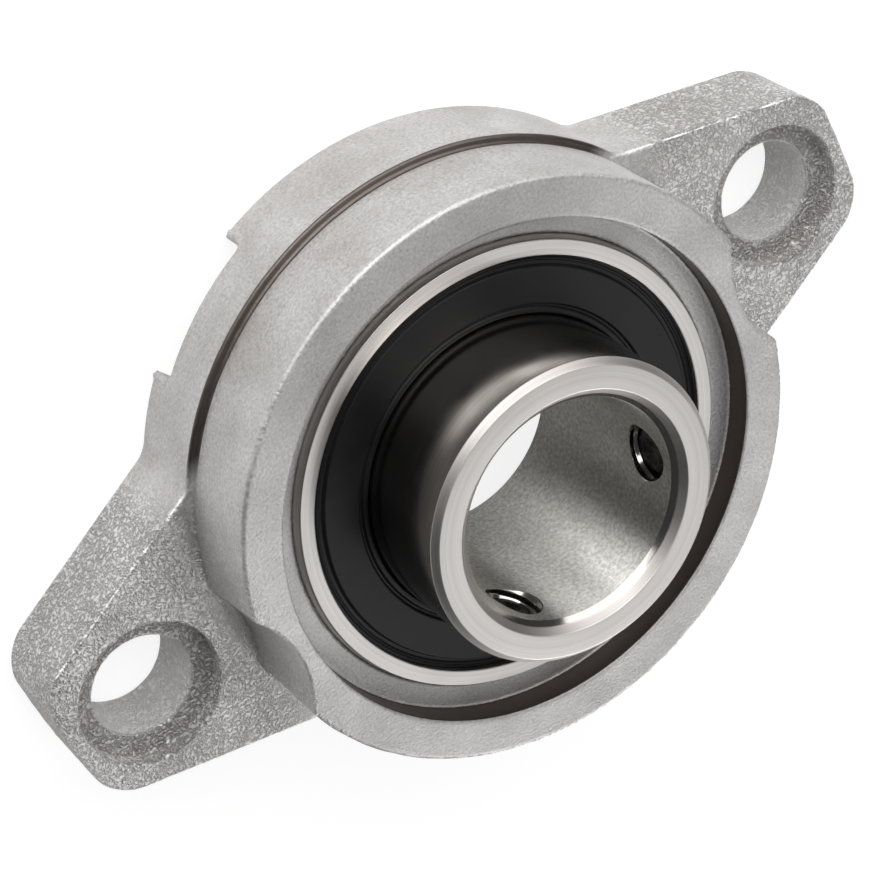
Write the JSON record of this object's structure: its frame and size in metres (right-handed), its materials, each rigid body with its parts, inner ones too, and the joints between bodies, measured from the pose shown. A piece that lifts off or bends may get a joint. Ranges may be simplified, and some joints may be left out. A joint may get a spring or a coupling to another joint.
{
  "type": "two-bolt flange-mounted ball bearing unit",
  "caption": "Rhombic two-bolt flange housing with a swivelling sealed ball-bearing insert whose long inner ring clamps a shaft with set screws.",
  "frame": {"origin": "on the shaft axis in the plane of the mounting face, midway between the two bolt holes", "axes": "+X along the line of the two bolts, +Z along the shaft from the mounting face towards the end with the set screws, +Y completes a right-handed frame"},
  "size_m": [0.065, 0.041, 0.0191],
  "materials": {
    "zinc_casting": "shot-blasted zinc alloy die casting, satin",
    "ring_steel": "ground bearing steel, bright",
    "ball_steel": "polished",
    "cage_steel": "pressed sheet, satin",
    "rivet_steel": "satin",
    "plate_steel": "pressed sheet, satin",
    "seal_rubber": "moulded nitrile rubber, satin",
    "screw_steel": "black oxide, oiled"
  },
  "bodies": {
    "housing": {"housing": "zinc_casting"},
    "insert": {"outer_ring": "ring_steel", "front_seal": "seal_rubber", "front_seal_plate": "plate_steel", "rear_seal": "seal_rubber", "rear_seal_plate": "plate_steel"},
    "inner_ring": {"inner_ring": "ring_steel"},
    "cage": {"cage_front": "cage_steel", "cage_rear": "cage_steel", "cage_rivets": "rivet_steel"},
    "ball_1": {"ball_1": "ball_steel"},
    "ball_2": {"ball_2": "ball_steel"},
    "ball_3": {"ball_3": "ball_steel"},
    "ball_4": {"ball_4": "ball_steel"},
    "ball_5": {"ball_5": "ball_steel"},
    "ball_6": {"ball_6": "ball_steel"},
    "ball_7": {"ball_7": "ball_steel"},
    "ball_8": {"ball_8": "ball_steel"},
    "ball_9": {"ball_9": "ball_steel"},
    "set_screw_1": {"set_screw_1": "screw_steel"},
    "set_screw_2": {"set_screw_2": "screw_steel"}
  },
  "joints": [
    {"name": "insert_swivel", "type": "hinge", "parent": "housing", "child": "insert", "pos_m": [0, 0, 0.0071], "axis": [1, 0, 0], "range_deg": [-3, 3]},
    {"name": "shaft_spin", "type": "hinge", "parent": "insert", "child": "inner_ring", "pos_m": [0, 0, 0.0071], "axis": [0, 0, 1], "continuous": true},
    {"name": "cage_spin", "type": "hinge", "parent": "insert", "child": "cage", "pos_m": [0, 0, 0.0071], "axis": [0, 0, 1], "continuous": true},
    {"name": "ball_1_roll", "type": "hinge", "parent": "cage", "child": "ball_1", "pos_m": [0.01175, 0, 0.0071], "axis": [0, 0, 1], "continuous": true},
    {"name": "ball_2_roll", "type": "hinge", "parent": "cage", "child": "ball_2", "pos_m": [0.009, 0.00755, 0.0071], "axis": [0, 0, 1], "continuous": true},
    {"name": "ball_3_roll", "type": "hinge", "parent": "cage", "child": "ball_3", "pos_m": [0.00204, 0.01157, 0.0071], "axis": [0, 0, 1], "continuous": true},
    {"name": "ball_4_roll", "type": "hinge", "parent": "cage", "child": "ball_4", "pos_m": [-0.00588, 0.01018, 0.0071], "axis": [0, 0, 1], "continuous": true},
    {"name": "ball_5_roll", "type": "hinge", "parent": "cage", "child": "ball_5", "pos_m": [-0.01104, 0.00402, 0.0071], "axis": [0, 0, 1], "continuous": true},
    {"name": "ball_6_roll", "type": "hinge", "parent": "cage", "child": "ball_6", "pos_m": [-0.01104, -0.00402, 0.0071], "axis": [0, 0, 1], "continuous": true},
    {"name": "ball_7_roll", "type": "hinge", "parent": "cage", "child": "ball_7", "pos_m": [-0.00588, -0.01018, 0.0071], "axis": [0, 0, 1], "continuous": true},
    {"name": "ball_8_roll", "type": "hinge", "parent": "cage", "child": "ball_8", "pos_m": [0.00204, -0.01157, 0.0071], "axis": [0, 0, 1], "continuous": true},
    {"name": "ball_9_roll", "type": "hinge", "parent": "cage", "child": "ball_9", "pos_m": [0.009, -0.00755, 0.0071], "axis": [0, 0, 1], "continuous": true},
    {"name": "set_screw_1_travel", "type": "slide", "parent": "inner_ring", "child": "set_screw_1", "axis": [0.9354, -0.3535, 0], "range_m": [-0.0004, 0.0016]},
    {"name": "set_screw_2_travel", "type": "slide", "parent": "inner_ring", "child": "set_screw_2", "axis": [-0.7157, -0.6984, 0], "range_m": [-0.0004, 0.0016]}
  ],
  "couplings": [
    {"joint": "cage_spin", "follows": "shaft_spin", "ratio": 0.39867},
    {"joint": "ball_1_roll", "follows": "shaft_spin", "ratio": -2.3659},
    {"joint": "ball_2_roll", "follows": "shaft_spin", "ratio": -2.3659},
    {"joint": "ball_3_roll", "follows": "shaft_spin", "ratio": -2.3659},
    {"joint": "ball_4_roll", "follows": "shaft_spin", "ratio": -2.3659},
    {"joint": "ball_5_roll", "follows": "shaft_spin", "ratio": -2.3659},
    {"joint": "ball_6_roll", "follows": "shaft_spin", "ratio": -2.3659},
    {"joint": "ball_7_roll", "follows": "shaft_spin", "ratio": -2.3659},
    {"joint": "ball_8_roll", "follows": "shaft_spin", "ratio": -2.3659},
    {"joint": "ball_9_roll", "follows": "shaft_spin", "ratio": -2.3659}
  ]
}
